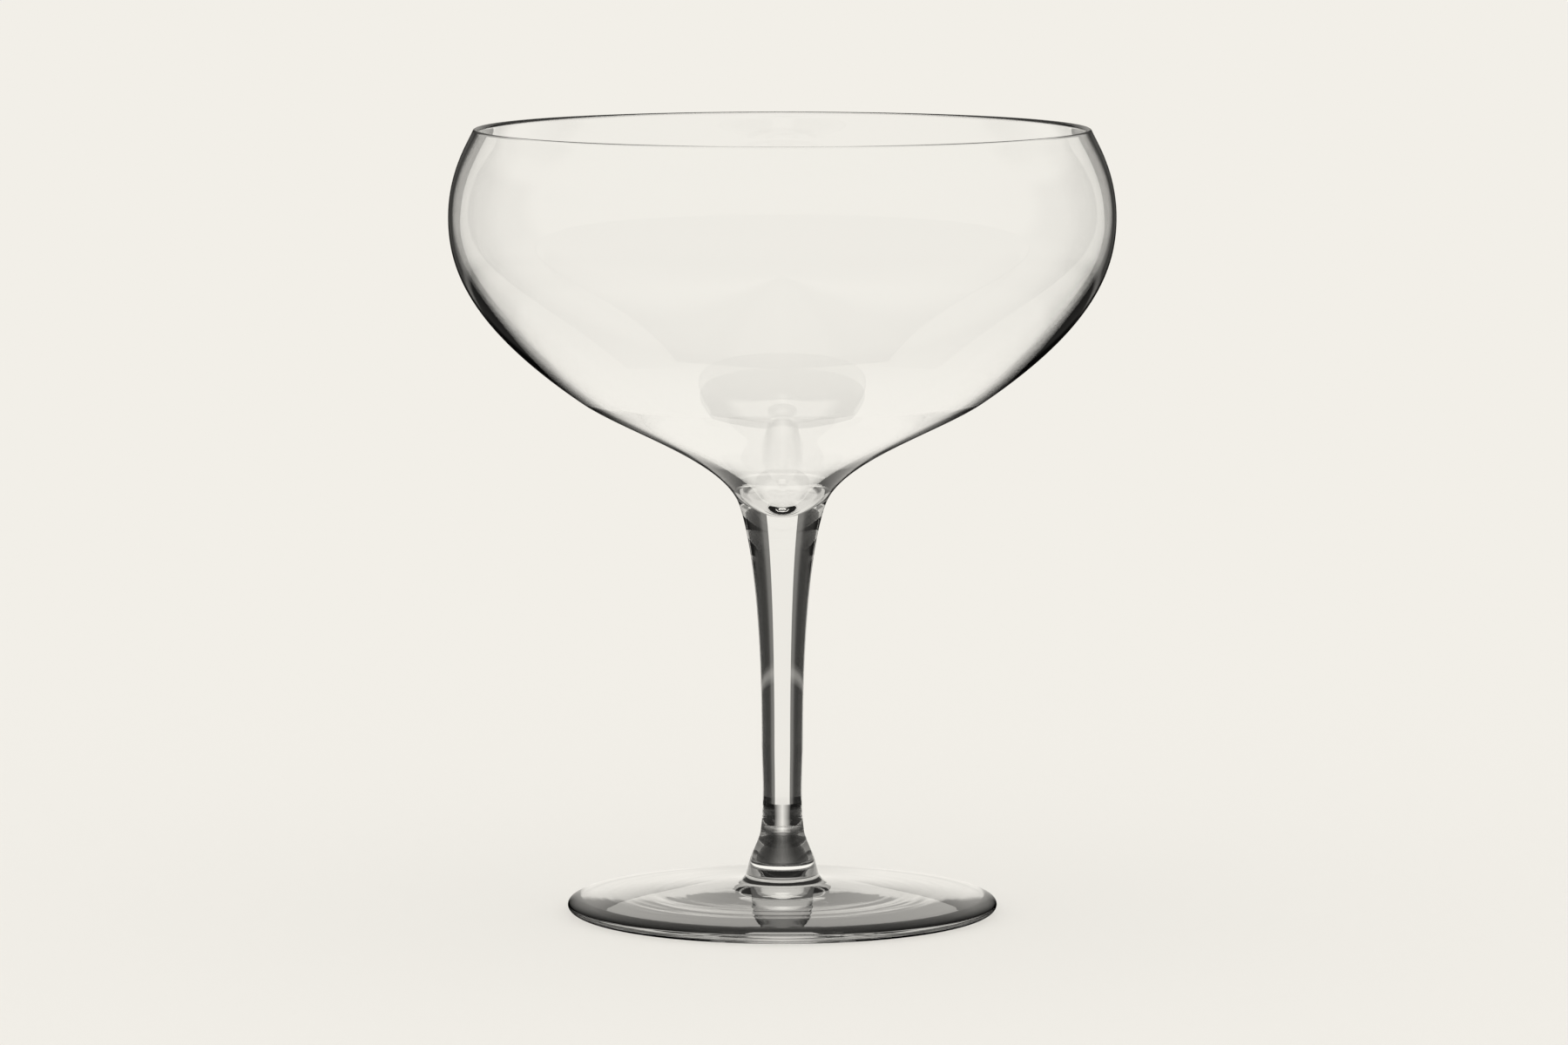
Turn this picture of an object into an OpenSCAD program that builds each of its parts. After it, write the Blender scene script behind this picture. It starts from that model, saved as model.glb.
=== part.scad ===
// Coupe glass in clear crystal, made of three pieces of glass that are welded hot:
// a blown bowl with an inturned rim and a pointed bottom, a drawn solid stem with a cupped top,
// and a spun foot with the boss that takes the stem. Every piece is turned about the axis.
// Millimetres. The origin is the centre of the foot on the table, and +Z is up.

/* [Bowl] */
// Depth of the bowl from the top of its rim down to the outer edge of the stem weld
bowl_depth = 62.3; // [55:0.1:85]
// Outer diameter of the bowl at the rim
rim_d = 101.8; // [96:0.2:107]
// Outer diameter of the bowl at its widest
belly_d = 110; // [106:0.5:125]
// Drop from the top of the rim to the widest place
belly_drop = 14.6; // [10:0.2:20]
// Outer diameter of the bowl on the lower flank, where the belly turns hollow
flank_d = 66.6; // [55:0.2:75]
// Height of that place above the outer edge of the stem weld
flank_rise = 17.3; // [14:0.1:22]
// Angle of the wall at the rim, inward from upright
rim_lean = 24; // [15:0.5:35]
// Angle of the lower flank below level
flank_fall = 34.5; // [28:0.5:42]
// Thickness of the wall at the rim
rim_wall = 1; // [0.8:0.1:1.6]
// Thickness of the wall at the widest place
belly_wall = 0.7; // [0.6:0.1:1.6]
// Thickness of the wall on the lower flank
flank_wall = 1.7; // [1.2:0.1:2.2]
// Inner diameter of the bowl where its straight-sided bottom begins
well_d = 10; // [8:0.2:12]
// Angle of that bottom below level
well_fall = 49.5; // [44:0.5:52]
// Thickness of the glass under the lowest point inside the bowl
floor_wall = 3; // [2.2:0.1:4]

/* [Stem] */
// Height from the seam on the foot up to the outer edge of the bowl weld
stem_length = 54.2; // [40:0.2:90]
// Diameter of the outer edge of the bowl weld
weld_d = 14.2; // [12.4:0.1:17]
// Angle of the side at that edge, outward from upright
weld_flare = 18.5; // [10:0.5:30]
// Depth of the stem's cup, which holds the pointed bottom of the bowl
cup_depth = 4.2; // [3:0.1:5]
// Radius inside which that point and the bottom of the bowl over it are rounded off
point_r = 1.9; // [1.2:0.1:2.2]
// Diameter of the stem at its thinnest
waist_d = 6.8; // [5:0.1:7]
// Height of the thinnest place above the seam
waist_rise = 14.2; // [8:0.2:24]
// Diameter of the stem at the seam on the foot
seam_d = 7.2; // [7:0.1:8.6]
// Angle of the side at the seam, outward from upright
seam_flare = 10.5; // [5:0.5:16]
// How far the stem's domed end reaches down into the boss
seam_dome = 0.8; // [0.4:0.1:1.2]
// Depth of the fine line that is left round the seam
seam_line = 0.12; // [0.05:0.01:0.2]

/* [Foot] */
// Diameter of the foot
foot_d = 71.3; // [60:0.5:90]
// Height of the seam above the table
seam_h = 13.8; // [12.5:0.1:18]
// Diameter of the boss at its shoulder, where its side leans most
shoulder_d = 9.7; // [9:0.1:10.8]
// Height of the shoulder above the table
shoulder_h = 10.3; // [9.4:0.1:11.2]
// Angle of the side at the shoulder, outward from upright
shoulder_flare = 23.5; // [18:0.5:30]
// Diameter of the boss above the fillet at its base
boss_d = 12; // [11.4:0.1:13]
// Height of that place above the table
boss_h = 6.6; // [6.2:0.1:7.4]
// Angle of the side there, outward from upright
boss_flare = 12.5; // [8:0.5:20]
// Diameter where the fillet runs out into the top of the foot
root_d = 15.2; // [14.6:0.1:20]
// Height of the top of the foot at that place
root_h = 5.1; // [4.2:0.1:5.6]
// Angle of the top of the foot below level at that place
root_fall = 10; // [6:0.5:14]
// Thickness of the foot at its rounded edge
edge_h = 2.8; // [2:0.1:3.4]
// Angle of the top of the foot below level at the edge
edge_fall = 4; // [2:0.5:6]
// How far the rounding of the edge reaches in over the top
edge_round = 2.4; // [1.5:0.1:3.5]
// Width of the flat ring that the foot rests on
rest_w = 1.6; // [1:0.1:3]
// Height of the hollow under the middle of the foot
kick_h = 1.2; // [0.6:0.1:1.8]

/* [Hidden] */

// Clear glass, drawn see-through
clear_glass = [0.86, 0.93, 0.93, 0.45];

// Smoothness: segments round the axis, and steps along a long curve, a round and the rim
$fn = 180;
curve_steps = 14;
round_steps = 6;
lip_steps = 10;

// Directions of travel of a profile that runs down and in, in degrees from outward
DOWN = -90;
INWARD = -180;
HALF_TURN = 180;

// How far a curve runs straight out of its two ends, as shares of the distance between them
rim_shares = [0.15, 0.5];
belly_shares = [0.22, 0.6];
flank_shares = [0.27, 0.25];
well_shares = [0.21, 0.36];
drawn_shares = [0.24, 0.32];
seam_shares = [0.15, 0.29];
even_shares = [0.33, 0.33];

// Heights above the table, piece upon piece
weld_z = seam_h + stem_length;
rim_z = weld_z + bowl_depth;

// How far the outer corner of the rim lies below the top of its rounding
lip_drop = rim_wall / 2 * (1 - sin(rim_lean));

// Radii of the two edges of the flat resting ring
rest_out_r = foot_d / 2 - edge_round;
rest_in_r = rest_out_r - rest_w;

// Angle of the stem's cup below level, and the height of the lowest point inside the bowl
cup_fall = atan(cup_depth / (weld_d / 2 - point_r));
floor_z = weld_z - cup_depth + floor_wall;

// A station is a place on a profile and its direction of travel: [radius, height, direction]
rim = [rim_d / 2, rim_z - lip_drop, DOWN + rim_lean];
belly = [belly_d / 2, rim_z - belly_drop, DOWN];
flank = [flank_d / 2, weld_z + flank_rise, INWARD + flank_fall];
weld = [weld_d / 2, weld_z, DOWN - weld_flare];
cup = [weld_d / 2, weld_z, INWARD + cup_fall];
well = [well_d / 2, floor_z + (well_d / 2 - point_r) * tan(well_fall), INWARD + well_fall];
waist = [waist_d / 2, seam_h + waist_rise, DOWN];
seam = [seam_d / 2, seam_h, DOWN + seam_flare];
shoulder = [shoulder_d / 2, shoulder_h, DOWN + shoulder_flare];
boss = [boss_d / 2, boss_h, DOWN + boss_flare];
root = [root_d / 2, root_h, -root_fall];
edge_top = [rest_out_r, edge_h, -edge_fall];
edge_side = [foot_d / 2, edge_h / 2, DOWN];
rest_out = [rest_out_r, 0, INWARD];
rest_in = [rest_in_r, 0, INWARD];
kick = [0, kick_h, INWARD];

// The place of a station, and the unit vector along a direction
function at(station) = [station.x, station.y];
function heading(direction) = [cos(direction), sin(direction)];

// A station moved in through the wall, square to its travel
function inset(station, wall) =
    let (inner = at(station) + wall * heading(station.z + DOWN))
    [inner.x, inner.y, station.z];

// A station moved up or down
function raised(station, rise) = [station.x, station.y + rise, station.z];

// A smooth curve from one station to the next, without its last point
function curve(from, to, shares, steps = curve_steps) =
    let (
        chord = norm(at(to) - at(from)),
        leave = at(from) + chord * shares[0] * heading(from.z),
        arrive = at(to) - chord * shares[1] * heading(to.z)
    )
    [for (i = [0:steps - 1])
        let (t = i / steps, s = 1 - t)
        s * s * s * at(from) + 3 * s * s * t * leave + 3 * s * t * t * arrive + t * t * t * at(to)];

// A straight-sided point that runs from a station down to the axis and is rounded at its tip
function point(from) =
    let (
        fall = from.z - INWARD,
        tip = [0, from.y - (from.x - point_r) * tan(fall), INWARD],
        start = [2 * point_r, tip.y + point_r * tan(fall), from.z]
    )
    concat([at(from)], curve(start, tip, even_shares, round_steps), [at(tip)]);

// The same points in the opposite order
function backwards(points) = [for (i = [len(points) - 1:-1:0]) points[i]];

// The seat of the bowl in the stem, and the seat of the stem's domed end in the boss
bowl_seat = point(cup);
stem_end = [seam.x - seam_line, seam.y, INWARD + seam_flare];
stem_seat = concat(
    curve(stem_end, [0, seam.y - seam_dome, INWARD], even_shares, round_steps),
    [[0, seam.y - seam_dome]]);

module turned(profile) {
    rotate_extrude() polygon(profile);
}

// The bowl: its outside from rim to weld, its seat, its inside back up, and its rounded lip
module bowl() {
    outside = concat(
        curve(rim, belly, rim_shares),
        curve(belly, flank, belly_shares),
        curve(flank, weld, flank_shares));
    rim_in = inset(rim, rim_wall);
    belly_in = inset(belly, belly_wall);
    flank_in = inset(flank, flank_wall);
    inside = concat(
        curve(rim_in, belly_in, rim_shares),
        curve(belly_in, flank_in, belly_shares),
        curve(flank_in, well, well_shares),
        point(well));
    lip_centre = (at(rim_in) + at(rim)) / 2;
    lip = [for (i = [1:lip_steps - 1])
        lip_centre + rim_wall / 2 * heading(rim_lean + HALF_TURN * (1 - i / lip_steps))];
    color(clear_glass)
        turned(concat(outside, bowl_seat, backwards(inside), lip));
}

// The stem: its cup, its drawn side down to the fine line round the seam, and its domed end
module stem() {
    line_top = raised(seam, seam_line);
    side = concat(
        curve(weld, waist, drawn_shares),
        curve(waist, line_top, seam_shares),
        [at(line_top)]);
    color(clear_glass)
        turned(concat(backwards(bowl_seat), side, stem_seat));
}

// The foot: its seat, the boss, the top out to the rounded edge, the resting ring and the hollow
module foot() {
    line_bottom = raised(seam, -seam_line);
    boss_side = concat(
        curve(line_bottom, shoulder, even_shares, round_steps),
        curve(shoulder, boss, even_shares, round_steps),
        curve(boss, root, even_shares, round_steps));
    top = concat(
        curve(root, edge_top, even_shares),
        curve(edge_top, edge_side, even_shares, round_steps),
        curve(edge_side, rest_out, even_shares, round_steps));
    underside = concat([at(rest_out)], curve(rest_in, kick, even_shares), [at(kick)]);
    color(clear_glass)
        turned(concat(backwards(stem_seat), boss_side, top, underside));
}

bowl();
stem();
foot();
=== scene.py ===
"""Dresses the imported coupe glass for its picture: turned meshes, clear glass and a pale studio.

Sizes are in millimetres, as the maker's drawing gives them. A mesh is made in metres, in the
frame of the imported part: the glass stands on the table at the origin, and Z is its axis.
"""
import logging
import math
from dataclasses import dataclass
from enum import Enum

import bmesh
import bpy
from mathutils import Matrix, Vector


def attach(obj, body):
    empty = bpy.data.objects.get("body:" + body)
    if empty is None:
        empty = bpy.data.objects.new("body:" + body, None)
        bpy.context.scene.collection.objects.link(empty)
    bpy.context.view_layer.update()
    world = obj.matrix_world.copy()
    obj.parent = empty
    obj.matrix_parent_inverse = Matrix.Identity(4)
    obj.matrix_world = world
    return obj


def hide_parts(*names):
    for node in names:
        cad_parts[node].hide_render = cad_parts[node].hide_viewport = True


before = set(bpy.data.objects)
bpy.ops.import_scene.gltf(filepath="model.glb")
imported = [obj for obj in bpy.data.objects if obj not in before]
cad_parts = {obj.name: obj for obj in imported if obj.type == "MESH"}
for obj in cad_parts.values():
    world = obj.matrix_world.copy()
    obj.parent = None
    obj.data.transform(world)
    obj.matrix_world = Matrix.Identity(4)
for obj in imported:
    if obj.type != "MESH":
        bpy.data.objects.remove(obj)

log = logging.getLogger("coupe")

# Lengths in metres: a millimetre, a micrometre, and how near doubled corners and slivers lie
MM = 0.001
MICRON = MM * MM
DOUBLED = 1e-7
SLIVER = 1e-9

# Directions of travel of a profile that runs down and in, in degrees from outward
DOWN = -90.0
INWARD = -180.0
HALF_TURN = 180

# How far a curve runs straight out of its two ends, where both run the same
EVEN_SHARES = (0.33, 0.33)

# Steps along the lines of a profile, from the rim down to the hollow under the foot
LIP_STEPS = 12
RIM_STEPS = 24
BELLY_STEPS = 48
WELL_STEPS = 40
POINT_STEPS = 12
TIP_STEPS = 16
DRAWN_STEPS = 72
WAIST_STEPS = 40
LINE_STEPS = 6
BOSS_STEPS = 20
TOP_STEPS = 40
ROUND_STEPS = 16
RING_STEPS = 4
HOLLOW_STEPS = 36

# Segments round the floor and the tents
STAGE_SEGMENTS = 96

# Limits between whole numbers, for how often light has met a surface
AT_LEAST_ONE = 0.5
AT_LEAST_TWO = 1.5
AT_LEAST_FOUR = 3.5
AT_LEAST_FIVE = 4.5
AT_LEAST_SIX = 5.5

Place = tuple[float, float]
Color = tuple[float, float, float]
Stops = tuple[Place, ...]
Given = bpy.types.NodeSocket | float | tuple[float, ...]


def heading(direction: float) -> Vector:
    """Gives the unit vector along a direction of travel.

    Args:
        direction: The direction in degrees, counted from outward, with up positive.

    Returns:
        The vector as radius and height.
    """
    return Vector((math.cos(math.radians(direction)), math.sin(math.radians(direction))))


@dataclass(frozen=True)
class Station:
    """A place on a turned profile, with the profile's direction of travel there."""

    radius: float
    height: float
    travel: float

    @property
    def at(self) -> Vector:
        """Gives the station's place as radius and height."""
        return Vector((self.radius, self.height))

    def inset(self, wall: float) -> "Station":
        """Moves the station in through the wall, square to its travel.

        Args:
            wall: The thickness of the wall in millimetres.

        Returns:
            The station on the inside, with the same direction of travel.
        """
        inner = self.at + wall * heading(self.travel + DOWN)
        return Station(inner.x, inner.y, self.travel)

    def raised(self, rise: float) -> "Station":
        """Gives the same station, moved up by a rise in millimetres."""
        return Station(self.radius, self.height + rise, self.travel)


def curve(start: Station, end: Station, shares: Place, steps: int) -> list[Vector]:
    """Joins two stations by a smooth curve whose steps are finest at its two ends.

    Args:
        start: The station that the curve leaves.
        end: The station that the curve reaches.
        shares: How far it runs straight out of each end, as shares of the distance between them.
        steps: The number of steps.

    Returns:
        The curve's places, without the last one.
    """
    chord = (end.at - start.at).length
    leave = start.at + chord * shares[0] * heading(start.travel)
    arrive = end.at - chord * shares[1] * heading(end.travel)
    places = []
    for step in range(steps):
        t = (1 - math.cos(math.pi * step / steps)) / 2
        s = 1 - t
        places.append(
            s**3 * start.at + 3 * s * s * t * leave + 3 * s * t * t * arrive + t**3 * end.at
        )
    return places


def straight(start: Vector, end: Vector, steps: int) -> list[Vector]:
    """Joins two places by a straight line in even steps, without the last place."""
    return [start.lerp(end, step / steps) for step in range(steps)]


@dataclass
class Drawing:
    """The sizes that the three pieces of glass share, and how their curves leave their ends."""

    bowl_depth: float = 62.3
    rim_d: float = 101.8
    belly_d: float = 110.0
    belly_drop: float = 14.6
    flank_d: float = 66.6
    flank_rise: float = 17.3
    rim_lean: float = 24.0
    flank_fall: float = 34.5
    rim_wall: float = 1.0
    belly_wall: float = 0.7
    flank_wall: float = 1.7
    well_d: float = 10.0
    well_fall: float = 48.0
    floor_wall: float = 3.0
    rim_shares: Place = (0.15, 0.5)
    belly_shares: Place = (0.22, 0.6)
    flank_shares: Place = (0.27, 0.25)
    well_shares: Place = (0.21, 0.3)
    stem_length: float = 54.2
    weld_d: float = 14.2
    weld_flare: float = 18.5
    cup_depth: float = 4.2
    point_r: float = 1.9
    waist_d: float = 6.8
    waist_rise: float = 14.2
    seam_d: float = 7.2
    seam_flare: float = 10.5
    seam_dome: float = 0.8
    seam_line: float = 0.12
    drawn_shares: Place = (0.24, 0.32)
    seam_shares: Place = (0.15, 0.29)
    foot_d: float = 71.3
    seam_h: float = 13.8
    shoulder_d: float = 9.7
    shoulder_h: float = 10.3
    shoulder_flare: float = 23.5
    boss_d: float = 12.0
    boss_h: float = 6.6
    boss_flare: float = 12.5
    root_d: float = 15.2
    root_h: float = 5.1
    root_fall: float = 10.0
    edge_h: float = 2.8
    edge_fall: float = 4.0
    edge_round: float = 2.4
    rest_w: float = 1.6
    kick_h: float = 1.2

    @property
    def weld_z(self) -> float:
        """Gives the height of the outer edge of the bowl's weld."""
        return self.seam_h + self.stem_length

    @property
    def rim_z(self) -> float:
        """Gives the height of the top of the rim."""
        return self.weld_z + self.bowl_depth

    @property
    def weld(self) -> Station:
        """Gives the outer edge of the weld between bowl and stem."""
        return Station(self.weld_d / 2, self.weld_z, DOWN - self.weld_flare)

    @property
    def seam(self) -> Station:
        """Gives the outside of the stem at its seam on the boss."""
        return Station(self.seam_d / 2, self.seam_h, DOWN + self.seam_flare)

    def point(self, start: Station) -> list[Vector]:
        """Runs straight from a station down towards the axis and rounds the point there.

        Args:
            start: The station where the straight-sided point begins.

        Returns:
            The places down to the tip on the axis, the tip included.
        """
        slope = math.tan(math.radians(start.travel - INWARD))
        tip = Station(0.0, start.height - (start.radius - self.point_r) * slope, INWARD)
        bend = Station(2 * self.point_r, tip.height + self.point_r * slope, start.travel)
        side = straight(start.at, bend.at, POINT_STEPS)
        return side + curve(bend, tip, EVEN_SHARES, TIP_STEPS) + [tip.at]

    def bowl_seat(self) -> list[Vector]:
        """Gives the seat of the bowl's point in the stem's cup, from its edge to the axis."""
        fall = math.degrees(math.atan(self.cup_depth / (self.weld.radius - self.point_r)))
        return self.point(Station(self.weld.radius, self.weld_z, INWARD + fall))

    def stem_seat(self) -> list[Vector]:
        """Gives the seat of the stem's domed end in the boss, from its edge to the axis."""
        edge = Station(self.seam.radius - self.seam_line, self.seam_h, INWARD + self.seam_flare)
        tip = Station(0.0, self.seam_h - self.seam_dome, INWARD)
        return curve(edge, tip, EVEN_SHARES, TIP_STEPS) + [tip.at]


class Skin(Enum):
    """The two kinds of surface that a piece of the glass has."""

    POLISHED = 0
    WELDED = 1


@dataclass(frozen=True)
class Run:
    """A run of a piece's profile with one kind of surface."""

    places: list[Vector]
    skin: Skin = Skin.POLISHED


def feed(tree: bpy.types.NodeTree, given: Given, place: bpy.types.NodeSocket) -> None:
    """Gives an input what it needs.

    Args:
        tree: The tree that the input is in.
        given: A socket, which is linked to the input, or a number or colour of its own.
        place: The input.
    """
    if isinstance(given, bpy.types.NodeSocket):
        tree.links.new(given, place)
    else:
        place.default_value = given


def calculate(tree: bpy.types.NodeTree, operation: str, *terms: Given) -> bpy.types.NodeSocket:
    """Adds a sum to a node tree.

    Args:
        tree: The tree that the sum goes into.
        operation: The name of the operation.
        terms: Its terms, each a socket or a number.

    Returns:
        The socket that holds the result.
    """
    node = tree.nodes.new("ShaderNodeMath")
    node.operation = operation
    for place, term in zip(node.inputs, terms):
        feed(tree, term, place)
    return node.outputs[0]


def choose(
    tree: bpy.types.NodeTree, share: Given, first: Given, second: Given
) -> bpy.types.NodeSocket:
    """Adds a mix of two colours to a node tree.

    Args:
        tree: The tree that the mix goes into.
        share: The share of the second colour.
        first: The first colour.
        second: The second colour.

    Returns:
        The socket that holds the mixed colour.
    """
    node = tree.nodes.new("ShaderNodeMixRGB")
    for name, given in (("Fac", share), ("Color1", first), ("Color2", second)):
        feed(tree, given, node.inputs[name])
    return node.outputs["Color"]


def grade(
    tree: bpy.types.NodeTree, value: bpy.types.NodeSocket, stops: Stops
) -> bpy.types.NodeSocket:
    """Grades a value by its stops, straight from each to the next.

    Args:
        tree: The tree that the grading goes into.
        value: The value that is graded.
        stops: The pairs of value and result, in rising order.

    Returns:
        The socket that holds the result.
    """
    first, last = stops[0][0], stops[-1][0]
    ramp = tree.nodes.new("ShaderNodeValToRGB")
    made = ramp.color_ramp.elements
    for stop, (_, result) in zip((made[0], made[1]), (stops[0], stops[-1])):
        stop.color = (result, result, result, 1.0)
    for at, result in stops[1:-1]:
        made.new((at - first) / (last - first)).color = (result, result, result, 1.0)
    span = calculate(tree, "SUBTRACT", value, first)
    feed(tree, calculate(tree, "DIVIDE", span, last - first), ramp.inputs["Fac"])
    return ramp.outputs["Color"]


def working_waves() -> bpy.types.NodeTree:
    """Makes the node group of the faint waves that the working of hot glass leaves in it.

    They run as rings round the axis and waver a little on their way round.

    Returns:
        The group, which puts out the glass's colour and the height of its waves.
    """
    group = bpy.data.node_groups.new("working_waves", "ShaderNodeTree")
    for name, way, kind in (
        ("Clear", "INPUT", "NodeSocketColor"),
        ("Deep", "INPUT", "NodeSocketColor"),
        ("Ring Pace", "INPUT", "NodeSocketFloat"),
        ("Turn Pace", "INPUT", "NodeSocketFloat"),
        ("Color", "OUTPUT", "NodeSocketColor"),
        ("Height", "OUTPUT", "NodeSocketFloat"),
    ):
        group.interface.new_socket(name, in_out=way, socket_type=kind)
    given, result = group.nodes.new("NodeGroupInput"), group.nodes.new("NodeGroupOutput")
    place, axes = group.nodes.new("ShaderNodeTexCoord"), group.nodes.new("ShaderNodeSeparateXYZ")
    feed(group, place.outputs["Object"], axes.inputs["Vector"])
    across, along, up = axes.outputs["X"], axes.outputs["Y"], axes.outputs["Z"]
    ring, turn = given.outputs["Ring Pace"], given.outputs["Turn Pace"]
    squares = calculate(
        group, "ADD",
        calculate(group, "MULTIPLY", across, across), calculate(group, "MULTIPLY", along, along),
    )
    radius = calculate(group, "SQRT", squares)
    rise = calculate(
        group, "ADD",
        calculate(group, "MULTIPLY", up, ring), calculate(group, "MULTIPLY", along, turn),
    )
    paced = group.nodes.new("ShaderNodeCombineXYZ")
    feed(group, calculate(group, "MULTIPLY", radius, ring), paced.inputs["X"])
    feed(group, calculate(group, "MULTIPLY", across, turn), paced.inputs["Y"])
    feed(group, rise, paced.inputs["Z"])
    noise = group.nodes.new("ShaderNodeTexNoise")
    noise.inputs["Scale"].default_value = 1.0
    noise.inputs["Detail"].default_value = 1.0
    feed(group, paced.outputs["Vector"], noise.inputs["Vector"])
    wave = noise.outputs["Fac"]
    tint = choose(group, wave, given.outputs["Clear"], given.outputs["Deep"])
    feed(group, tint, result.inputs["Color"])
    feed(group, wave, result.inputs["Height"])
    return group


@dataclass(frozen=True)
class ClearGlass:
    """The finish of fire-polished clear crystal, with the faint waves of its working.

    The ring pace is how many waves go to a metre, outward or up the axis, and the turn pace how
    many go to a metre across it. The depth of the waves is in micrometres.
    """

    name: str
    ring_pace: float
    turn_pace: float
    wave_depth: float
    clear: tuple[float, float, float, float] = (0.999, 0.999, 0.999, 1.0)
    deep: tuple[float, float, float, float] = (0.991, 0.995, 0.993, 1.0)
    ior: float = 1.5
    roughness: float = 0.0

    def material(self, waves: bpy.types.NodeTree) -> bpy.types.Material:
        """Makes the material.

        Args:
            waves: The node group of the working's waves.

        Returns:
            The new material, with its glass on a Principled BSDF.
        """
        made = bpy.data.materials.new(self.name)
        made.use_nodes = True
        nodes, links = made.node_tree.nodes, made.node_tree.links
        shader = nodes["Principled BSDF"]
        working = nodes.new("ShaderNodeGroup")
        working.node_tree = waves
        working.inputs["Clear"].default_value = self.clear
        working.inputs["Deep"].default_value = self.deep
        working.inputs["Ring Pace"].default_value = self.ring_pace
        working.inputs["Turn Pace"].default_value = self.turn_pace
        bump = nodes.new("ShaderNodeBump")
        bump.inputs["Distance"].default_value = self.wave_depth * MICRON
        links.new(working.outputs["Height"], bump.inputs["Height"])
        links.new(working.outputs["Color"], shader.inputs["Base Color"])
        links.new(bump.outputs["Normal"], shader.inputs["Normal"])
        shader.inputs["Roughness"].default_value = self.roughness
        shader.inputs["IOR"].default_value = self.ior
        shader.inputs["Transmission Weight"].default_value = 1.0
        return made


@dataclass(frozen=True)
class FusedGlass:
    """The finish of a weld, where two pieces of hot glass have run into one and nothing shows."""

    name: str

    def material(self) -> bpy.types.Material:
        """Makes the material.

        Returns:
            The new material, which lets everything through unbent.
        """
        made = bpy.data.materials.new(self.name)
        made.use_nodes = True
        shader = made.node_tree.nodes["Principled BSDF"]
        shader.inputs["Alpha"].default_value = 0.0
        shader.inputs["Roughness"].default_value = 0.0
        return made


@dataclass
class TurnedPiece:
    """A piece of glass that is turned about the axis and stands for one node of the frame.

    A narrow sector is turned first and doubled until it closes. The segments round the axis are
    a multiple of the sectors, of which there are two to the power of the doublings.
    """

    drawing: Drawing
    name: str
    node: str
    slot: str
    segments: int = 288
    doublings: int = 5

    def runs(self) -> list[Run]:
        """Gives the runs of the closed profile, in order. Each piece draws its own."""
        raise NotImplementedError

    def build(self) -> bpy.types.Object:
        """Turns the profile and rides the piece on the frame.

        Returns:
            The finished piece, at the origin, with its place in its mesh.
        """
        shape = bmesh.new()
        outline = [(place, run.skin) for run in self.runs() for place in run.places]
        corners = [shape.verts.new((place.x * MM, 0.0, place.y * MM)) for place, _ in outline]
        runs: dict[Skin, list[bmesh.types.BMEdge]] = {skin: [] for skin in Skin}
        for (_, skin), first, second in zip(outline, corners, corners[1:] + corners[:1]):
            if first.co.x > 0 or second.co.x > 0:
                runs[skin].append(shape.edges.new((first, second)))
        self.turn(shape, runs)
        bmesh.ops.remove_doubles(shape, verts=shape.verts[:], dist=DOUBLED)
        bmesh.ops.dissolve_degenerate(shape, dist=SLIVER, edges=shape.edges[:])
        bmesh.ops.recalc_face_normals(shape, faces=shape.faces[:])
        for face in shape.faces:
            face.smooth = True
        for edge in shape.edges:
            edge.smooth = len({face.material_index for face in edge.link_faces}) < 2
        mesh = bpy.data.meshes.new(self.name)
        shape.to_mesh(mesh)
        shape.free()
        piece = bpy.data.objects.new(self.name, mesh)
        bpy.context.scene.collection.objects.link(piece)
        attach(piece, "root")
        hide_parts(self.node)
        log.info("%s: %d faces", self.name, len(mesh.polygons))
        return piece

    def turn(
        self, shape: bmesh.types.BMesh, runs: dict[Skin, list[bmesh.types.BMEdge]]
    ) -> None:
        """Spins the profile through a narrow sector, and copies the sector on until it closes.

        Args:
            shape: The mesh that the profile is in.
            runs: The profile's edges, by the kind of surface that they make.
        """
        sector = 2 * math.pi / 2**self.doublings
        for skin, edges in runs.items():
            before = set(shape.faces)
            corners = {vert for edge in edges for vert in edge.verts}
            bmesh.ops.spin(
                shape, geom=list(corners) + edges,
                cent=(0, 0, 0), axis=(0, 0, 1), dvec=(0, 0, 0), angle=sector,
                steps=self.segments // 2**self.doublings, use_merge=False, use_duplicate=False,
            )
            for face in set(shape.faces) - before:
                face.material_index = skin.value
        for _ in range(self.doublings):
            whole = shape.verts[:] + shape.edges[:] + shape.faces[:]
            copied = bmesh.ops.duplicate(shape, geom=whole)
            verts = [item for item in copied["geom"] if isinstance(item, bmesh.types.BMVert)]
            on = Matrix.Rotation(sector, 3, "Z")
            bmesh.ops.rotate(shape, cent=(0, 0, 0), matrix=on, verts=verts)
            sector *= 2

    def dress(
        self, piece: bpy.types.Object, glass: bpy.types.Material, weld: bpy.types.Material
    ) -> None:
        """Puts the polished glass and the fused weld in the piece's two material slots.

        Args:
            piece: The finished piece.
            glass: The material of its polished surface.
            weld: The material of its welded surface.
        """
        piece.data.materials.append(glass)
        piece.data.materials.append(weld)


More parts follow.
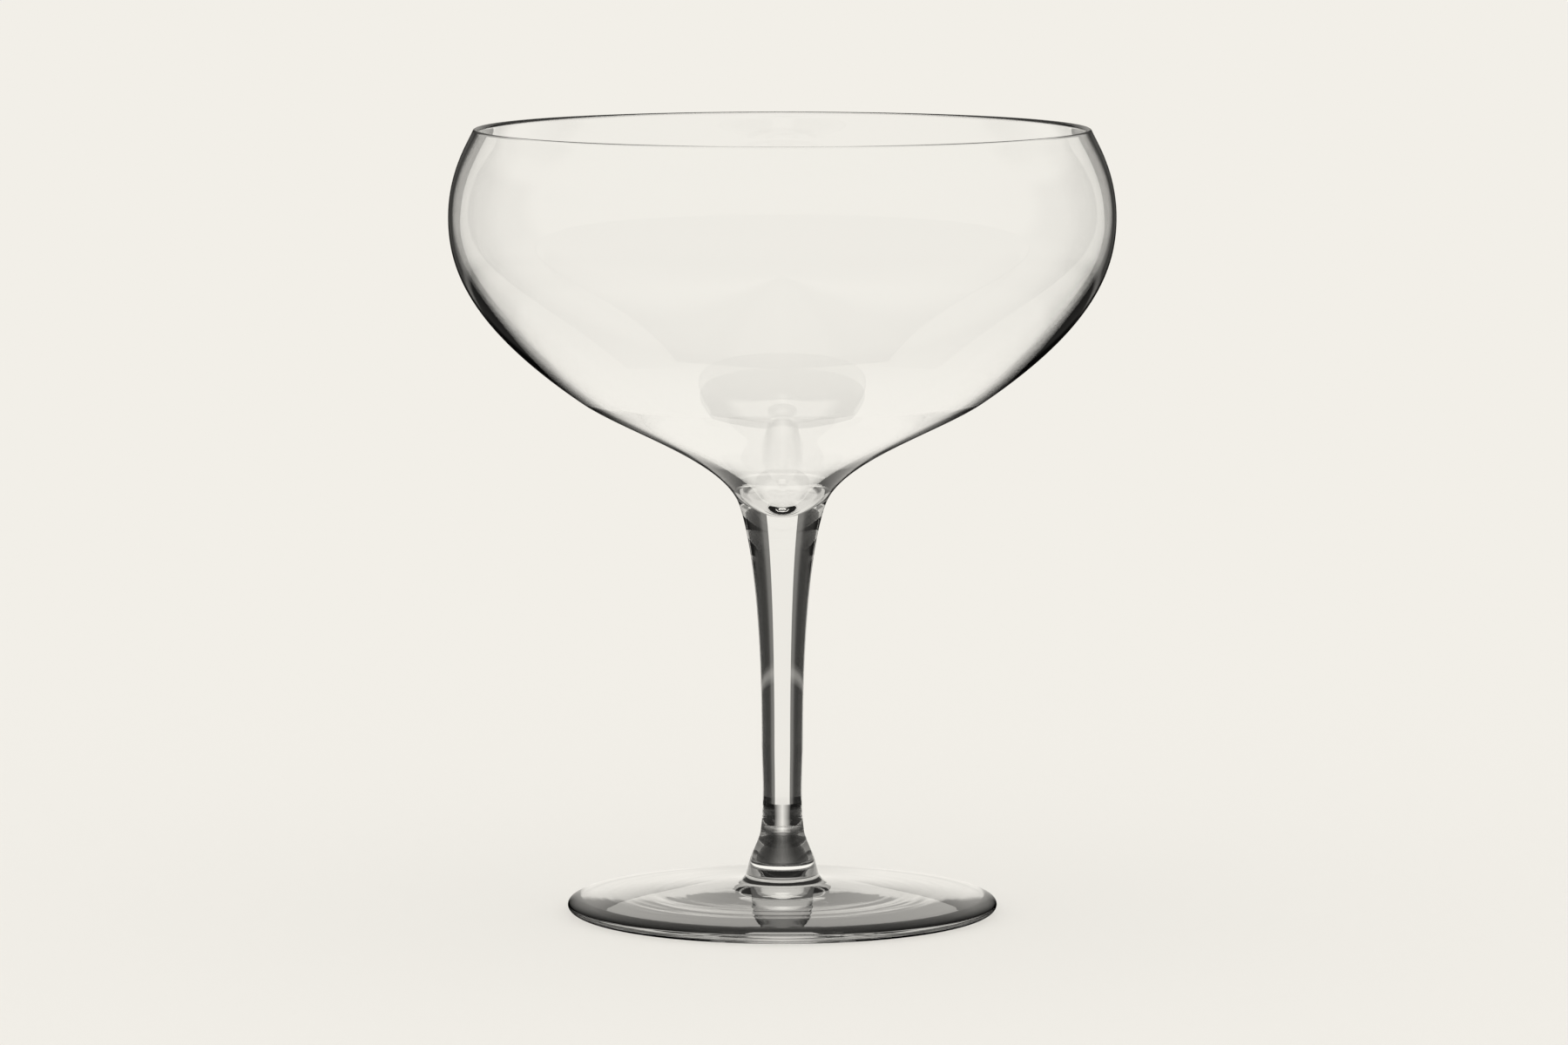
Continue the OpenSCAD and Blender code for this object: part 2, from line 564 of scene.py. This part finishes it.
@dataclass
class Bowl(TurnedPiece):
    """The blown bowl, from its rounded lip down to the point that the stem holds."""

    name: str = "bowl_glass"
    node: str = "bowl"
    slot: str = "bowl_glass"

    def runs(self) -> list[Run]:
        """Draws the bowl: its outside, its seat, its inside back up, and its lip.

        Returns:
            The runs of the closed profile.
        """
        d = self.drawing
        lip_drop = d.rim_wall / 2 * (1 - math.sin(math.radians(d.rim_lean)))
        rim = Station(d.rim_d / 2, d.rim_z - lip_drop, DOWN + d.rim_lean)
        belly = Station(d.belly_d / 2, d.rim_z - d.belly_drop, DOWN)
        flank = Station(d.flank_d / 2, d.weld_z + d.flank_rise, INWARD + d.flank_fall)
        floor_z = d.weld_z - d.cup_depth + d.floor_wall
        well_r = d.well_d / 2
        slope = math.tan(math.radians(d.well_fall))
        well = Station(well_r, floor_z + (well_r - d.point_r) * slope, INWARD + d.well_fall)
        rim_in, belly_in = rim.inset(d.rim_wall), belly.inset(d.belly_wall)
        flank_in = flank.inset(d.flank_wall)
        outside = (
            curve(rim, belly, d.rim_shares, RIM_STEPS)
            + curve(belly, flank, d.belly_shares, BELLY_STEPS)
            + curve(flank, d.weld, d.flank_shares, BELLY_STEPS)
        )
        inside = (
            curve(rim_in, belly_in, d.rim_shares, RIM_STEPS)
            + curve(belly_in, flank_in, d.belly_shares, BELLY_STEPS)
            + curve(flank_in, well, d.well_shares, WELL_STEPS)
            + d.point(well)
        )
        centre = (rim_in.at + rim.at) / 2
        lip = [
            centre + d.rim_wall / 2 * heading(d.rim_lean + HALF_TURN * (1 - step / LIP_STEPS))
            for step in range(1, LIP_STEPS)
        ]
        return [Run(outside), Run(d.bowl_seat(), Skin.WELDED), Run(inside[::-1]), Run(lip)]


@dataclass
class Stem(TurnedPiece):
    """The drawn stem, from its cup down to the domed end that the boss holds."""

    name: str = "stem_glass"
    node: str = "stem"
    slot: str = "stem_glass"
    segments: int = 192

    def runs(self) -> list[Run]:
        """Draws the stem: its side down to the seam, its domed end, and its cup.

        Returns:
            The runs of the closed profile.
        """
        d = self.drawing
        waist = Station(d.waist_d / 2, d.seam_h + d.waist_rise, DOWN)
        line_top = d.seam.raised(d.seam_line)
        line_edge = Station(d.seam.radius - d.seam_line, d.seam_h, INWARD + d.seam_flare)
        side = (
            curve(d.weld, waist, d.drawn_shares, DRAWN_STEPS)
            + curve(waist, line_top, d.seam_shares, WAIST_STEPS)
            + curve(line_top, line_edge, EVEN_SHARES, LINE_STEPS)
        )
        cup = d.bowl_seat()[:0:-1]
        return [Run(side), Run(d.stem_seat(), Skin.WELDED), Run(cup, Skin.WELDED)]


@dataclass
class Foot(TurnedPiece):
    """The spun foot with its boss, its rounded edge and the hollow under it."""

    name: str = "foot_glass"
    node: str = "foot"
    slot: str = "foot_glass"

    def runs(self) -> list[Run]:
        """Draws the foot: the boss, the top, the rounded edge, the underside and the seat.

        Returns:
            The runs of the closed profile.
        """
        d = self.drawing
        line_edge = Station(d.seam.radius - d.seam_line, d.seam_h, -d.seam_flare)
        line_bottom = d.seam.raised(-d.seam_line)
        shoulder = Station(d.shoulder_d / 2, d.shoulder_h, DOWN + d.shoulder_flare)
        boss = Station(d.boss_d / 2, d.boss_h, DOWN + d.boss_flare)
        root = Station(d.root_d / 2, d.root_h, -d.root_fall)
        rest_r = d.foot_d / 2 - d.edge_round
        edge_top = Station(rest_r, d.edge_h, -d.edge_fall)
        edge_side = Station(d.foot_d / 2, d.edge_h / 2, DOWN)
        rest_out = Station(rest_r, 0.0, INWARD)
        rest_in = Station(rest_r - d.rest_w, 0.0, INWARD)
        kick = Station(0.0, d.kick_h, INWARD)
        side = (
            curve(line_edge, line_bottom, EVEN_SHARES, LINE_STEPS)
            + curve(line_bottom, shoulder, EVEN_SHARES, BOSS_STEPS)
            + curve(shoulder, boss, EVEN_SHARES, BOSS_STEPS)
            + curve(boss, root, EVEN_SHARES, BOSS_STEPS)
            + curve(root, edge_top, EVEN_SHARES, TOP_STEPS)
            + curve(edge_top, edge_side, EVEN_SHARES, ROUND_STEPS)
            + curve(edge_side, rest_out, EVEN_SHARES, ROUND_STEPS)
            + straight(rest_out.at, rest_in.at, RING_STEPS)
            + curve(rest_in, kick, EVEN_SHARES, HOLLOW_STEPS)
            + [kick.at]
        )
        return [Run(side), Run(d.stem_seat()[:0:-1], Skin.WELDED)]


@dataclass
class Camera:
    """The camera of the picture, and its place before the glass.

    The pitch is in degrees below level, and the nearest and farthest sight are in metres.
    """

    distance: float = 1264.0
    height: float = 202.4
    aside: float = 0.28
    pitch: float = 6.20
    lens: float = 176.52
    sensor: float = 36.0
    nearest: float = 0.05
    farthest: float = 100.0

    def build(self) -> None:
        """Sets the camera up and makes it the scene's."""
        data = bpy.data.cameras.new("picture_camera")
        data.sensor_width = self.sensor
        data.lens = self.lens
        data.clip_start, data.clip_end = self.nearest, self.farthest
        camera = bpy.data.objects.new("picture_camera", data)
        camera.location = Vector((self.aside, -self.distance, self.height)) * MM
        camera.rotation_euler = (math.radians(90.0 - self.pitch), 0.0, 0.0)
        bpy.context.scene.collection.objects.link(camera)
        bpy.context.scene.camera = camera


class Way(Enum):
    """The ways that light takes through the glass, each with its own view of a tent."""

    MIRRORED = "off the outside of a piece"
    PLAIN = "through one piece, unmirrored"
    GUIDED = "through one piece, mirrored inside it"
    TRAPPED = "through one piece, mirrored inside it more than once"
    DOUBLE = "through both walls of the bowl"


@dataclass(frozen=True)
class Drape:
    """A dark drape of a tent: how dark it is round the glass, and how dark up its height. One
    drape is painted shade instead: the foot's shadow on the table, seen through the foot.

    The angle round the glass is counted in degrees from straight behind it, the same to both
    sides, and the height is in millimetres. A drape with an edge begins sharply at that angle.
    One that is near or far darkens only what lies within or beyond that distance of the glass.
    """

    name: str
    around: Stops
    up: Stops
    edge: float = 0.0
    near: float = 0.0
    far: float = 0.0

    def veil(
        self, tree: bpy.types.NodeTree, path: bpy.types.Node,
        around: bpy.types.NodeSocket, up: bpy.types.NodeSocket,
    ) -> bpy.types.NodeSocket:
        """Works out how dark the drape is at a place of the tent.

        Args:
            tree: The tree of the tent's light.
            path: Its Light Path node.
            around: The place's angle round the glass.
            up: The place's height.

        Returns:
            The socket that holds the darkness, from nought to one.
        """
        turned, raised = grade(tree, around, self.around), grade(tree, up, self.up)
        dark = calculate(tree, "MULTIPLY", turned, raised)
        length = path.outputs["Ray Length"]
        if self.edge:
            beyond = calculate(tree, "GREATER_THAN", around, self.edge)
            dark = calculate(tree, "MULTIPLY", dark, beyond)
        if self.near:
            close = calculate(tree, "LESS_THAN", length, self.near * MM)
            dark = calculate(tree, "MULTIPLY", dark, close)
        if self.far:
            distant = calculate(tree, "GREATER_THAN", length, self.far * MM)
            dark = calculate(tree, "MULTIPLY", dark, distant)
        dark.node.label = self.name
        return dark


@dataclass(frozen=True)
class Tent:
    """A round tent of light that only the glass sees, with its drapes for each way of the light.

    A tent may have a hole round the axis. One with a reach catches only light that comes from
    inside it and from no farther off, and lets all other light through.
    """

    name: str
    radius: float
    height: float
    glow: float
    drapes: dict[Way, tuple[Drape, ...]]
    hole_r: float = 0.0
    reach: float = 0.0

    def build(self, ground: Color) -> None:
        """Pitches the tent round the glass, where it stands still.

        Args:
            ground: The colour of its light.
        """
        shape = bmesh.new()
        bmesh.ops.create_uvsphere(
            shape, u_segments=STAGE_SEGMENTS, v_segments=STAGE_SEGMENTS // 2,
            radius=self.radius * MM,
        )
        for corner in shape.verts:
            corner.co.z *= self.height / self.radius
        inside = [
            corner for corner in shape.verts
            if corner.co.z > 0 and corner.co.xy.length < self.hole_r * MM
        ]
        bmesh.ops.delete(shape, geom=inside, context="VERTS")
        mesh = bpy.data.meshes.new(self.name)
        shape.to_mesh(mesh)
        shape.free()
        mesh.materials.append(self.material(ground))
        tent = bpy.data.objects.new(self.name, mesh)
        bpy.context.scene.collection.objects.link(tent)
        tent.visible_camera = tent.visible_diffuse = tent.visible_shadow = False

    def material(self, ground: Color) -> bpy.types.Material:
        """Makes the tent's light: a pale window behind the glass, between dark drapes.

        Args:
            ground: The colour of its light.

        Returns:
            The new material, which isn't sampled as a lamp.
        """
        made = bpy.data.materials.new(f"{self.name}_light")
        made.use_nodes = True
        tree = made.node_tree
        tree.nodes.clear()
        path = tree.nodes.new("ShaderNodeLightPath")
        shine = tree.nodes.new("ShaderNodeEmission")
        shine.inputs["Color"].default_value = (*ground, 1.0)
        bright = self.brightness(tree, path)
        feed(tree, calculate(tree, "MULTIPLY", bright, self.glow), shine.inputs["Strength"])
        lit = shine.outputs["Emission"]
        if self.reach:
            lit = self.caught(tree, path, lit)
        out = tree.nodes.new("ShaderNodeOutputMaterial")
        feed(tree, lit, out.inputs["Surface"])
        made.cycles.emission_sampling = "NONE"
        return made

    def brightness(
        self, tree: bpy.types.NodeTree, path: bpy.types.Node
    ) -> bpy.types.NodeSocket:
        """Works out how bright a place of the tent is for the way that the light takes.

        Light that the floor has scattered, or that has met very many surfaces, sees no drape.

        Args:
            tree: The tree of the tent's light.
            path: Its Light Path node.

        Returns:
            The socket that holds the brightness, from nought to one.
        """
        place = tree.nodes.new("ShaderNodeTexCoord")
        axes = tree.nodes.new("ShaderNodeSeparateXYZ")
        feed(tree, place.outputs["Object"], axes.inputs["Vector"])
        side = calculate(tree, "ABSOLUTE", axes.outputs["X"])
        angle = calculate(tree, "ARCTAN2", side, axes.outputs["Y"])
        around = calculate(tree, "MULTIPLY", angle, HALF_TURN / math.pi)
        up = calculate(tree, "DIVIDE", axes.outputs["Z"], MM)
        total: Given = 0.0
        for way, taken in self.way_taken(tree, path).items():
            light = taken
            for drape in self.drapes[way]:
                clear = calculate(tree, "SUBTRACT", 1.0, drape.veil(tree, path, around, up))
                light = calculate(tree, "MULTIPLY", light, clear)
            total = calculate(tree, "ADD", total, light)
        crossed = calculate(
            tree, "GREATER_THAN", path.outputs["Transmission Depth"], AT_LEAST_SIX
        )
        soft = calculate(tree, "GREATER_THAN", path.outputs["Diffuse Depth"], AT_LEAST_ONE)
        return calculate(tree, "MAXIMUM", total, calculate(tree, "MAXIMUM", crossed, soft))

    def way_taken(
        self, tree: bpy.types.NodeTree, path: bpy.types.Node
    ) -> dict[Way, bpy.types.NodeSocket]:
        """Tells which way the light takes, from the depths of its path.

        Args:
            tree: The tree of the tent's light.
            path: Its Light Path node.

        Returns:
            A socket for each way, one for the way that the light takes and nought for the others.
        """
        crossings, mirrorings = path.outputs["Transmission Depth"], path.outputs["Glossy Depth"]
        mirrored = path.outputs["Is Reflection Ray"]
        bent = calculate(tree, "SUBTRACT", 1.0, mirrored)
        double = calculate(tree, "GREATER_THAN", crossings, AT_LEAST_FOUR)
        single = calculate(tree, "SUBTRACT", bent, double)
        guided = calculate(tree, "GREATER_THAN", mirrorings, AT_LEAST_ONE)
        trapped = calculate(tree, "GREATER_THAN", mirrorings, AT_LEAST_TWO)
        unguided = calculate(tree, "SUBTRACT", single, guided)
        once = calculate(tree, "SUBTRACT", guided, trapped)
        alone = calculate(tree, "MAXIMUM", single, 0.0)
        return {
            Way.MIRRORED: mirrored,
            Way.PLAIN: calculate(tree, "GREATER_THAN", unguided, AT_LEAST_ONE),
            Way.GUIDED: calculate(tree, "MULTIPLY", alone, once),
            Way.TRAPPED: calculate(tree, "MULTIPLY", alone, trapped),
            Way.DOUBLE: calculate(tree, "MULTIPLY", bent, double),
        }

    def caught(
        self, tree: bpy.types.NodeTree, path: bpy.types.Node, lit: bpy.types.NodeSocket
    ) -> bpy.types.NodeSocket:
        """Lets through all light that doesn't come from inside the tent and from near by.

        Args:
            tree: The tree of the tent's light.
            path: Its Light Path node.
            lit: The light of the tent.

        Returns:
            The tent's light for what it catches, and a clear passage for the rest.
        """
        met = tree.nodes.new("ShaderNodeNewGeometry")
        near = calculate(tree, "LESS_THAN", path.outputs["Ray Length"], self.reach * MM)
        few = calculate(tree, "LESS_THAN", path.outputs["Transmission Depth"], AT_LEAST_FIVE)
        inside = calculate(tree, "MULTIPLY", met.outputs["Backfacing"], near)
        passage = tree.nodes.new("ShaderNodeBsdfTransparent")
        choice = tree.nodes.new("ShaderNodeMixShader")
        feed(tree, calculate(tree, "MULTIPLY", inside, few), choice.inputs["Fac"])
        feed(tree, passage.outputs["BSDF"], choice.inputs[1])
        feed(tree, lit, choice.inputs[2])
        return choice.outputs["Shader"]


@dataclass
class Studio:
    """The pale ground, the soft light and the tents that stand round the glass.

    The ground has one colour to the eye. A share of it is the floor's own glow, and the rest is
    even light on a floor that sends back as much of it as its albedo says.
    """

    tents: tuple[Tent, ...]
    ground: Color = (0.8879, 0.8632, 0.8070)
    albedo: float = 0.8
    bent_share: float = 0.98
    floor_r: float = 40000.0
    glow_share: float = 0.45

    def build_floor(self) -> None:
        """Lays the pale floor, which the glass doesn't mirror or bend."""
        ground = bpy.data.materials.new("pale_ground")
        ground.use_nodes = True
        shader = ground.node_tree.nodes["Principled BSDF"]
        grey = self.albedo * (1 - self.glow_share)
        shader.inputs["Base Color"].default_value = (grey, grey, grey, 1.0)
        shader.inputs["Emission Color"].default_value = (*self.ground, 1.0)
        shader.inputs["Emission Strength"].default_value = self.glow_share
        shader.inputs["Roughness"].default_value = 1.0
        shader.inputs["Specular IOR Level"].default_value = 0.0
        ground.cycles.emission_sampling = "NONE"
        shape = bmesh.new()
        bmesh.ops.create_circle(
            shape, cap_ends=True, segments=STAGE_SEGMENTS, radius=self.floor_r * MM
        )
        mesh = bpy.data.meshes.new("floor")
        shape.to_mesh(mesh)
        shape.free()
        mesh.materials.append(ground)
        floor = bpy.data.objects.new("floor", mesh)
        bpy.context.scene.collection.objects.link(floor)
        floor.visible_transmission = floor.visible_glossy = False

    def build_world(self) -> None:
        """Fills the room with even light, which shows as the ground's colour behind the glass.

        Light bent by the glass finds it a little darker. Light for the floor is raised by what
        the floor swallows, so that the floor and the room have one colour.
        """
        world = bpy.data.worlds.new("room")
        bpy.context.scene.world = world
        world.use_nodes = True
        tree = world.node_tree
        tree.nodes.clear()
        path = tree.nodes.new("ShaderNodeLightPath")
        bounced = calculate(tree, "GREATER_THAN", path.outputs["Diffuse Depth"], AT_LEAST_ONE)
        bent = (*(part * self.bent_share for part in self.ground), 1.0)
        raised = (*(part / self.albedo for part in self.ground), 1.0)
        seen = choose(tree, path.outputs["Is Camera Ray"], bent, (*self.ground, 1.0))
        back = tree.nodes.new("ShaderNodeBackground")
        feed(tree, choose(tree, bounced, seen, raised), back.inputs["Color"])
        out = tree.nodes.new("ShaderNodeOutputWorld")
        feed(tree, back.outputs["Background"], out.inputs["Surface"])
        world.cycles.sampling_method = "NONE"

    def build(self) -> None:
        """Builds the floor, the room and the tents, and has colours shown as they are."""
        self.build_floor()
        self.build_world()
        for tent in self.tents:
            tent.build(self.ground)
        bpy.context.scene.view_settings.view_transform = "Standard"
        bpy.context.scene.view_settings.look = "None"


# Stops of a drape: pairs of degrees, or millimetres, and darkness from nought to one
ALL_ROUND = ((0.0, 1.0), (180.0, 1.0))
TALL_ALL_UP = ((-280.0, 1.0), (280.0, 1.0))
LOW_ALL_UP = ((-17.0, 1.0), (17.0, 1.0))
BOTH_SIDES = (
    (0.0, 0.8), (18.0, 0.8), (21.0, 0.83), (24.0, 0.93), (27.0, 0.975), (35.0, 0.99),
    (66.0, 0.99), (72.0, 0.0), (180.0, 0.0),
)
FRONT_HALF = ((0.0, 0.0), (75.0, 0.0), (88.0, 1.0), (180.0, 1.0))
WINDOW_EDGE = 15.2

TALL_GUIDED = (
    Drape(
        "sides, guided",
        around=(
            (0.0, 0.0), (12.0, 0.0), (18.0, 0.8), (26.0, 1.0), (42.0, 1.0), (50.0, 0.8),
            (66.0, 0.7), (76.0, 0.2), (180.0, 0.2),
        ),
        up=(
            (-280.0, 0.0), (-15.0, 0.0), (10.0, 0.6), (50.0, 1.0), (170.0, 1.0), (210.0, 0.3),
            (280.0, 0.3),
        ),
    ),
    Drape(
        "middle, guided",
        around=((0.0, 0.5), (5.0, 0.8), (10.0, 0.95), (13.0, 0.6), (17.0, 0.0), (180.0, 0.0)),
        up=(
            (-280.0, 0.0), (-80.0, 0.3), (-45.0, 0.7), (-15.0, 1.0), (45.0, 1.0), (75.0, 0.4),
            (110.0, 0.0), (280.0, 0.0),
        ),
    ),
    Drape(
        "wide sides, guided",
        around=((0.0, 0.0), (40.0, 0.1), (65.0, 0.4), (75.0, 0.2), (180.0, 0.2)),
        up=TALL_ALL_UP,
    ),
)

TALL_TENT = Tent("tall_tent", radius=280.0, height=280.0, glow=1.03, drapes={
    Way.MIRRORED: (
        Drape(
            "middle, mirrored",
            around=((0.0, 0.8), (5.0, 0.95), (18.0, 1.0), (22.0, 0.9), (26.0, 0.0), (180.0, 0.0)),
            up=(
                (-280.0, 0.0), (-45.0, 0.0), (-20.0, 1.0), (110.0, 1.0), (150.0, 0.5),
                (280.0, 0.8),
            ),
        ),
        Drape(
            "sides of the stem, mirrored",
            around=(
                (0.0, 0.0), (16.0, 0.0), (20.0, 0.95), (54.0, 0.95), (70.0, 0.6), (180.0, 0.3),
            ),
            up=(
                (-280.0, 0.0), (-60.0, 0.0), (-40.0, 0.8), (-20.0, 1.0), (40.0, 1.0),
                (60.0, 0.0), (280.0, 0.0),
            ),
        ),
        Drape(
            "sides of the bowl, mirrored",
            around=(
                (0.0, 0.0), (16.0, 0.0), (20.0, 0.9), (31.0, 0.9), (40.0, 0.2), (50.0, 0.0),
                (180.0, 0.0),
            ),
            up=(
                (-280.0, 0.0), (40.0, 0.0), (60.0, 1.0), (150.0, 1.0), (190.0, 0.8),
                (280.0, 0.95),
            ),
        ),
        Drape(
            "wide sides, mirrored",
            around=((0.0, 0.0), (27.0, 0.0), (40.0, 0.1), (65.0, 0.4), (90.0, 0.6), (180.0, 0.6)),
            up=TALL_ALL_UP,
        ),
    ),
    Way.PLAIN: (
        Drape(
            "low sides of the window",
            around=BOTH_SIDES,
            up=(
                (-280.0, 0.0), (-90.0, 0.0), (-65.0, 1.0), (12.0, 1.0), (18.0, 0.0),
                (280.0, 0.0),
            ),
            edge=WINDOW_EDGE,
            far=264.0,
        ),
        Drape(
            "high sides of the window",
            around=BOTH_SIDES,
            up=((-280.0, 0.0), (12.0, 0.0), (18.0, 1.0), (280.0, 1.0)),
            edge=WINDOW_EDGE,
        ),
        Drape(
            "fall of the window",
            around=((0.0, 1.0), (66.0, 1.0), (72.0, 0.0), (180.0, 0.0)),
            up=(
                (-280.0, 0.0), (-90.0, 0.0), (-70.0, 0.3), (-60.0, 0.3), (-45.0, 0.16),
                (-30.0, 0.09), (-15.0, 0.04), (280.0, 0.04),
            ),
        ),
    ),
    Way.GUIDED: TALL_GUIDED,
    Way.TRAPPED: TALL_GUIDED,
    Way.DOUBLE: (
        Drape(
            "band of the belly",
            around=((0.0, 0.86), (62.0, 0.86), (72.0, 0.0), (180.0, 0.0)),
            up=(
                (-280.0, 0.0), (0.0, 0.0), (30.0, 1.0), (170.0, 1.0), (200.0, 0.5),
                (280.0, 0.0),
            ),
            edge=18.6,
        ),
        Drape(
            "line of the flank",
            around=(
                (0.0, 0.0), (12.0, 0.1), (16.0, 0.4), (27.0, 0.7), (35.0, 1.0), (65.0, 1.0),
                (75.0, 0.0), (180.0, 0.0),
            ),
            up=(
                (-280.0, 0.4), (-220.0, 0.5), (-180.0, 1.0), (-100.0, 1.0), (-70.0, 0.5),
                (-30.0, 0.0), (280.0, 0.0),
            ),
        ),
    ),
})

LOW_TENT = Tent("low_tent", radius=38.0, height=17.0, glow=1.15, hole_r=5.0, reach=74.5, drapes={
    Way.MIRRORED: (
        Drape(
            "round the boss, mirrored",
            around=(
                (0.0, 1.0), (12.0, 1.0), (24.0, 0.9), (32.0, 0.7), (60.0, 0.7), (90.0, 0.5),
                (180.0, 0.5),
            ),
            up=((-17.0, 0.0), (5.0, 0.0), (9.0, 0.8), (12.0, 1.0), (17.0, 1.0)),
            near=28.0,
        ),
        Drape(
            "edge of the foot, mirrored",
            around=(
                (0.0, 0.0), (62.0, 0.0), (80.0, 1.0), (150.0, 1.0), (165.0, 0.3), (180.0, 0.0),
            ),
            up=((-17.0, 0.8), (-14.0, 1.0), (2.0, 1.0), (8.0, 0.1), (17.0, 0.0)),
        ),
    ),
    Way.PLAIN: (
        Drape(
            "sides of the boss",
            around=(
                (0.0, 0.2), (7.0, 0.6), (14.0, 1.0), (66.0, 1.0), (76.0, 0.0), (180.0, 0.0),
            ),
            up=((-17.0, 0.0), (-3.0, 0.0), (0.0, 1.0), (17.0, 1.0)),
        ),
        # Painted shade: darkens the pale table seen through the foot, standing in for the foot's
        # shadow on it
        Drape(
            "painted shade of the foot on the table",
            around=((0.0, 0.5), (10.0, 0.6), (25.0, 0.3), (60.0, 0.3), (180.0, 0.3)),
            up=((-17.0, 1.0), (-2.0, 1.0), (0.0, 0.0), (17.0, 0.0)),
        ),
    ),
    Way.GUIDED: (
        Drape(
            "all sides, guided",
            around=(
                (0.0, 0.45), (10.0, 0.5), (50.0, 0.55), (70.0, 0.6), (80.0, 0.3), (180.0, 0.3),
            ),
            up=((-17.0, 0.0), (-14.0, 0.0), (-11.0, 1.0), (17.0, 1.0)),
        ),
        Drape(
            "front, guided",
            around=FRONT_HALF,
            up=(
                (-17.0, 0.97), (-9.0, 0.97), (-5.0, 0.0), (2.0, 0.0), (4.0, 0.95),
                (17.0, 0.95),
            ),
        ),
        Drape(
            "edge of the foot, guided",
            around=((0.0, 0.3), (10.0, 1.0), (180.0, 1.0)),
            up=((-17.0, 0.0), (-1.0, 0.0), (0.5, 0.55), (2.0, 0.55), (4.0, 0.0), (17.0, 0.0)),
        ),
        Drape(
            "low sides, guided",
            around=((0.0, 0.0), (8.0, 0.3), (14.0, 1.0), (180.0, 1.0)),
            up=(
                (-17.0, 0.0), (-14.0, 0.0), (-11.0, 1.0), (-6.0, 1.0), (-4.0, 0.7),
                (-2.0, 0.0), (17.0, 0.0),
            ),
        ),
        Drape(
            "high sides, guided",
            around=(
                (0.0, 0.0), (10.0, 0.0), (25.0, 0.4), (50.0, 0.6), (75.0, 1.0), (180.0, 1.0),
            ),
            up=((-17.0, 0.0), (8.0, 0.0), (11.0, 0.7), (15.0, 1.0), (17.0, 1.0)),
        ),
    ),
    Way.TRAPPED: (
        Drape(
            "front, trapped",
            around=FRONT_HALF,
            up=((-17.0, 0.97), (-9.0, 0.97), (-5.0, 0.5), (17.0, 0.5)),
        ),
        Drape(
            "all sides, trapped",
            around=ALL_ROUND,
            up=(
                (-17.0, 0.0), (-13.0, 0.0), (-10.0, 0.7), (-2.0, 0.55), (1.0, 0.5), (3.0, 0.3),
                (5.0, 0.35), (8.0, 0.5), (11.0, 0.65), (17.0, 0.65),
            ),
        ),
    ),
    Way.DOUBLE: (
        Drape(
            "sides, twice through",
            around=(
                (0.0, 0.0), (6.0, 0.4), (10.0, 0.75), (16.0, 1.0), (66.0, 1.0), (76.0, 0.0),
                (180.0, 0.0),
            ),
            up=LOW_ALL_UP,
        ),
        Drape(
            "below, twice through",
            around=ALL_ROUND,
            up=(
                (-17.0, 1.0), (-9.0, 0.9), (-7.0, 0.7), (-5.0, 0.4), (-3.0, 0.1), (17.0, 0.0),
            ),
        ),
    ),
})


def main() -> None:
    """Builds the glass, the camera and the studio."""
    logging.basicConfig(level=logging.INFO, format="%(message)s")
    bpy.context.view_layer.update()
    drawing = Drawing()
    waves = working_waves()
    weld = FusedGlass("fused_weld").material()
    blown = ClearGlass("blown_crystal", ring_pace=90.0, turn_pace=18.0, wave_depth=1.0)
    drawn = ClearGlass("drawn_crystal", ring_pace=60.0, turn_pace=120.0, wave_depth=1.0)
    spun = ClearGlass("spun_crystal", ring_pace=420.0, turn_pace=30.0, wave_depth=24.0)
    for piece, glass in ((Bowl(drawing), blown), (Stem(drawing), drawn), (Foot(drawing), spun)):
        piece.dress(piece.build(), glass.material(waves), weld)
    Camera().build()
    Studio((TALL_TENT, LOW_TENT)).build()
    bpy.context.view_layer.update()


if __name__ == "__main__":
    main()
